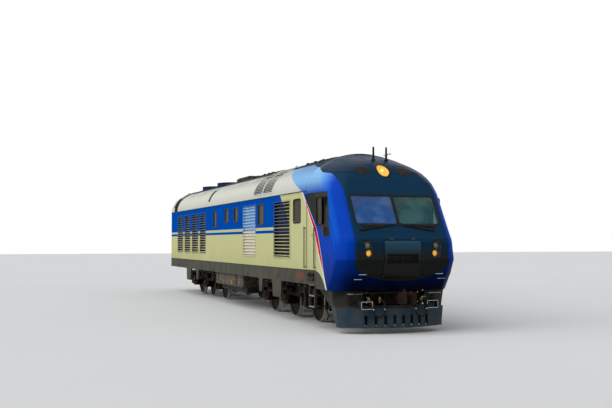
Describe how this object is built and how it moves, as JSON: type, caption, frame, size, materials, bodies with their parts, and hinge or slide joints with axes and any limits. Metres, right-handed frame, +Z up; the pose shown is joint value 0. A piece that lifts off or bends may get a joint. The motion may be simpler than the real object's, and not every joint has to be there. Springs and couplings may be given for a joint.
{
  "type": "diesel locomotive",
  "caption": "Single-cab diesel-electric passenger locomotive unit with a rounded sloping nose, louvred sides, roof cooling fans, rear gangway and two three-axle bogies.",
  "frame": {"origin": "on the floor plane under the middle between the two coupler faces, on the centre line", "axes": "+Z up, the cab and nose toward -Y, +X to the right seen from the front toward the rear"},
  "size_m": [3.544, 22, 4.8596],
  "materials": {
    "body_paint": "gloss",
    "mask_paint": "gloss",
    "roof_paint": "satin",
    "roof_dark": "matt",
    "louvre_black": "matt",
    "skirt_paint": "satin",
    "pilot_paint": "satin",
    "frame_paint": "matt",
    "bogie_paint": "dusty matt",
    "tank_paint": "dusty matt",
    "cabin_paint": "satin",
    "cast_dark": "as cast, dirty",
    "wheel_steel": "worn",
    "fan_metal": "cast",
    "clear_glass": "polished",
    "lamp_glass": "polished",
    "black_rubber": "matt",
    "desk_plastic": "textured",
    "seat_cloth": "woven",
    "mirror_shell": "satin"
  },
  "bodies": {
    "body": {"underframe": "frame_paint", "cab_shell": "body_paint", "nose_hatch": "mask_paint", "lamp_housings": "roof_dark", "lamp_glasses": "lamp_glass", "windscreen_glass": "clear_glass", "windscreen_frame": "black_rubber", "wipers": "louvre_black", "pilot": "pilot_paint", "rails_and_steps": "skirt_paint", "window_glass_left": "clear_glass", "window_glass_right": "clear_glass", "window_frames": "black_rubber", "mirrors": "mirror_shell", "side_wall_left": "body_paint", "side_wall_right": "body_paint", "side_louvres_left": "louvre_black", "side_louvres_right": "louvre_black", "skirt_left": "skirt_paint", "skirt_right": "skirt_paint", "skirt_pillars": "skirt_paint", "end_wall": "body_paint", "gangway": "black_rubber", "bulkhead": "cabin_paint", "roof_rear": "roof_paint", "roof_middle": "roof_paint", "roof_front": "roof_paint", "roof_louvre_left": "louvre_black", "roof_louvre_right": "louvre_black", "roof_covers": "roof_dark", "roof_aerials": "roof_dark", "rain_gutters": "body_paint", "fan_guards": "louvre_black", "fuel_tank": "tank_paint", "engine_block": "cast_dark", "cab_desk": "desk_plastic", "cab_seats": "seat_cloth", "coupler_front": "cast_dark", "coupler_rear": "cast_dark", "pivots_and_draft_boxes": "frame_paint", "brake_hoses": "black_rubber"},
    "bogie_rear": {"bogie_frame_rear": "bogie_paint", "axle_boxes_rear": "cast_dark", "traction_motors_rear": "cast_dark", "brake_gear_rear": "cast_dark"},
    "wheelset_rear_1": {"wheelset_rear_1": "wheel_steel"},
    "wheelset_rear_2": {"wheelset_rear_2": "wheel_steel"},
    "wheelset_rear_3": {"wheelset_rear_3": "wheel_steel"},
    "bogie_front": {"bogie_frame_front": "bogie_paint", "axle_boxes_front": "cast_dark", "traction_motors_front": "cast_dark", "brake_gear_front": "cast_dark"},
    "wheelset_front_1": {"wheelset_front_1": "wheel_steel"},
    "wheelset_front_2": {"wheelset_front_2": "wheel_steel"},
    "wheelset_front_3": {"wheelset_front_3": "wheel_steel"},
    "cab_door_left": {"cab_door_left": "body_paint"},
    "cab_door_right": {"cab_door_right": "body_paint"},
    "end_door": {"end_door": "body_paint"},
    "cooling_fan_1": {"cooling_fan_1": "fan_metal"},
    "cooling_fan_2": {"cooling_fan_2": "fan_metal"}
  },
  "joints": [
    {"name": "bogie_rear_swivel", "type": "hinge", "parent": "body", "child": "bogie_rear", "pos_m": [0, 5.6, 0.928], "axis": [0, 0, 1], "range_deg": [-2.5, 2.5]},
    {"name": "wheelset_rear_1_spin", "type": "hinge", "parent": "bogie_rear", "child": "wheelset_rear_1", "pos_m": [0, 7.6, 0.553], "axis": [1, 0, 0], "continuous": true},
    {"name": "wheelset_rear_2_spin", "type": "hinge", "parent": "bogie_rear", "child": "wheelset_rear_2", "pos_m": [0, 5.6, 0.553], "axis": [1, 0, 0], "continuous": true},
    {"name": "wheelset_rear_3_spin", "type": "hinge", "parent": "bogie_rear", "child": "wheelset_rear_3", "pos_m": [0, 3.6, 0.553], "axis": [1, 0, 0], "continuous": true},
    {"name": "bogie_front_swivel", "type": "hinge", "parent": "body", "child": "bogie_front", "pos_m": [0, -4.9, 0.928], "axis": [0, 0, 1], "range_deg": [-2.5, 2.5]},
    {"name": "wheelset_front_1_spin", "type": "hinge", "parent": "bogie_front", "child": "wheelset_front_1", "pos_m": [0, -2.9, 0.553], "axis": [1, 0, 0], "continuous": true},
    {"name": "wheelset_front_2_spin", "type": "hinge", "parent": "bogie_front", "child": "wheelset_front_2", "pos_m": [0, -4.9, 0.553], "axis": [1, 0, 0], "continuous": true},
    {"name": "wheelset_front_3_spin", "type": "hinge", "parent": "bogie_front", "child": "wheelset_front_3", "pos_m": [0, -6.9, 0.553], "axis": [1, 0, 0], "continuous": true},
    {"name": "cab_door_left_hinge", "type": "hinge", "parent": "body", "child": "cab_door_left", "pos_m": [-1.627, -8.281, 2.568], "axis": [0, 0, 1], "range_deg": [0, 85]},
    {"name": "cab_door_right_hinge", "type": "hinge", "parent": "body", "child": "cab_door_right", "pos_m": [1.627, -8.281, 2.568], "axis": [0, 0, -1], "range_deg": [0, 85]},
    {"name": "end_door_hinge", "type": "hinge", "parent": "body", "child": "end_door", "pos_m": [-0.369, 10.51, 2.498], "axis": [0, 0, -1], "range_deg": [0, 90]},
    {"name": "cooling_fan_1_spin", "type": "hinge", "parent": "body", "child": "cooling_fan_1", "pos_m": [0, 7.7, 4.508], "axis": [0, 0, 1], "continuous": true},
    {"name": "cooling_fan_2_spin", "type": "hinge", "parent": "body", "child": "cooling_fan_2", "pos_m": [0, 5, 4.508], "axis": [0, 0, 1], "continuous": true}
  ]
}
